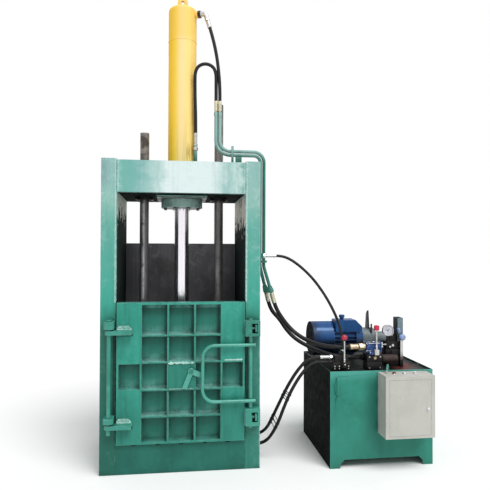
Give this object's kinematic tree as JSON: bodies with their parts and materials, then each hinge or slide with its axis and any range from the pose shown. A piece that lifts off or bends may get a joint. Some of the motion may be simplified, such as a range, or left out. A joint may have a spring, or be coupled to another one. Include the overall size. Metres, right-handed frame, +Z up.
{
  "type": "recycling baler",
  "caption": "Vertical hydraulic baler: a tall welded frame with a feed window, ribbed door, top cylinder and ram, joined by hoses to a tank with motor, pump, valves and a control cabinet.",
  "frame": {"origin": "on the floor under the press cylinder's axis", "axes": "+X towards the power unit, +Y to the rear, +Z up"},
  "size_m": [2.61, 1.059, 3.849],
  "materials": {
    "press_green": "worn gloss enamel",
    "chamber_steel": "scuffed and grimy",
    "cylinder_yellow": "gloss enamel",
    "rod_chrome": "polished",
    "guide_steel": "oily, worn bright in streaks",
    "bolt_steel": "black oxide",
    "hose_rubber": "matte",
    "fitting_zinc": "zinc plated",
    "valve_black": "painted black",
    "valve_blue": "gloss enamel",
    "lever_red": "gloss",
    "motor_blue": "satin enamel",
    "rotor_steel": "machined",
    "pump_grey": "satin grey",
    "gauge_white": "gloss",
    "needle_black": "matte",
    "lid_dark": "oily",
    "cabinet_cream": "powder coat",
    "conduit_green": "ribbed",
    "lock_chrome": "polished",
    "button_red": "gloss",
    "button_white": "gloss"
  },
  "bodies": {
    "machine": {"back_wall": "press_green", "base_panel": "press_green", "cylinder_gland": "press_green", "cylinder_mount_plate": "press_green", "cylinder_ports": "press_green", "hinge_blocks": "press_green", "keeper_lugs": "press_green", "pipe_clamps": "press_green", "ram_pipes": "press_green", "side_frame_left": "press_green", "side_frame_right": "press_green", "tank_shell": "press_green", "top_beam": "press_green", "chamber_floor": "chamber_steel", "floor_bearers": "chamber_steel", "cylinder_barrel": "cylinder_yellow", "cylinder_cap": "cylinder_yellow", "guide_bushes": "guide_steel", "ejector_cylinder": "guide_steel", "ejector_pipes": "guide_steel", "mount_bolts": "bolt_steel", "hose_cap_side": "hose_rubber", "hose_ejector_front": "hose_rubber", "hose_ejector_rear": "hose_rubber", "hose_pilot": "hose_rubber", "hose_rod_side": "hose_rubber", "hose_supply_front": "hose_rubber", "hose_supply_rear": "hose_rubber", "hose_ferrules": "fitting_zinc", "valve_blocks": "valve_black", "manifold_block": "valve_black", "valve_body": "valve_blue", "motor_body": "motor_blue", "motor_cowl": "motor_blue", "terminal_box": "motor_blue", "pump_unit": "pump_grey", "filter_post": "pump_grey", "gauge_body": "gauge_white", "tank_lid": "lid_dark", "cabinet_box": "cabinet_cream", "cabinet_conduit": "conduit_green"},
    "ram": {"piston_rod": "rod_chrome", "platen": "chamber_steel", "guide_rods": "guide_steel"},
    "door": {"door_panel": "press_green", "hinge_arms": "press_green", "lock_brackets": "press_green"},
    "lock_bar": {"lock_handle": "press_green"},
    "pawl": {"latch_pawl": "press_green"},
    "ejector": {"ejector_pusher": "chamber_steel"},
    "left_lever": {"lever_left": "lever_red"},
    "right_lever": {"lever_right": "lever_red"},
    "cabinet_panel": {"cabinet_door": "cabinet_cream"},
    "cabinet_latch": {"cabinet_lock": "lock_chrome"},
    "stop": {"stop_button": "button_red"},
    "start": {"start_button": "button_white"},
    "reset": {"reset_button": "button_white"},
    "needle": {"gauge_needle": "needle_black"},
    "relief": {"relief_knob": "fitting_zinc"},
    "rotor": {"motor_rotor": "rotor_steel"}
  },
  "joints": [
    {"name": "ram_slide", "type": "slide", "parent": "machine", "child": "ram", "axis": [0, 0, 1], "range_m": [-0.42, 0.75]},
    {"name": "door_hinge", "type": "hinge", "parent": "machine", "child": "door", "pos_m": [-0.536, -0.475, 0.8], "axis": [0, 0, 1], "range_deg": [-110, 0]},
    {"name": "lock_turn", "type": "hinge", "parent": "door", "child": "lock_bar", "pos_m": [0.532, -0.44, 0.75], "axis": [0, 0, 1], "range_deg": [0, 90]},
    {"name": "pawl_turn", "type": "hinge", "parent": "door", "child": "pawl", "pos_m": [0.074, -0.438, 0.775], "axis": [0, 1, 0], "range_deg": [-60, 15]},
    {"name": "ejector_slide", "type": "slide", "parent": "machine", "child": "ejector", "axis": [0, -1, 0], "range_m": [0, 0.2]},
    {"name": "left_lever_tilt", "type": "hinge", "parent": "machine", "child": "left_lever", "pos_m": [1.283, -0.436, 0.8], "axis": [0, 1, 0], "range_deg": [-18, 18], "stiffness_Nm_per_rad": 8},
    {"name": "right_lever_tilt", "type": "hinge", "parent": "machine", "child": "right_lever", "pos_m": [1.541, -0.456, 0.9], "axis": [0, 1, 0], "range_deg": [-18, 18], "stiffness_Nm_per_rad": 8},
    {"name": "cabinet_hinge", "type": "hinge", "parent": "machine", "child": "cabinet_panel", "pos_m": [1.5745, -0.643, 0.5], "axis": [0, 0, 1], "range_deg": [-110, 0]},
    {"name": "cabinet_latch_turn", "type": "hinge", "parent": "cabinet_panel", "child": "cabinet_latch", "pos_m": [1.878, -0.645, 0.494], "axis": [0, 1, 0], "range_deg": [0, 90]},
    {"name": "stop_press", "type": "slide", "parent": "machine", "child": "stop", "axis": [0, 0, -1], "range_m": [0, 0.004], "stiffness_N_per_m": 600},
    {"name": "start_press", "type": "slide", "parent": "machine", "child": "start", "axis": [0, 0, -1], "range_m": [0, 0.004], "stiffness_N_per_m": 600},
    {"name": "reset_press", "type": "slide", "parent": "machine", "child": "reset", "axis": [0, 0, -1], "range_m": [0, 0.004], "stiffness_N_per_m": 600},
    {"name": "needle_turn", "type": "hinge", "parent": "machine", "child": "needle", "pos_m": [1.69, -0.33, 1.047], "axis": [0, 1, 0], "range_deg": [-175, 95]},
    {"name": "relief_turn", "type": "hinge", "parent": "machine", "child": "relief", "pos_m": [1.812, -0.358, 0.988], "axis": [0, 1, 0], "range_deg": [0, 270]},
    {"name": "rotor_spin", "type": "hinge", "parent": "machine", "child": "rotor", "pos_m": [1.4, 0.15, 0.915], "axis": [1, 0, 0], "continuous": true}
  ]
}
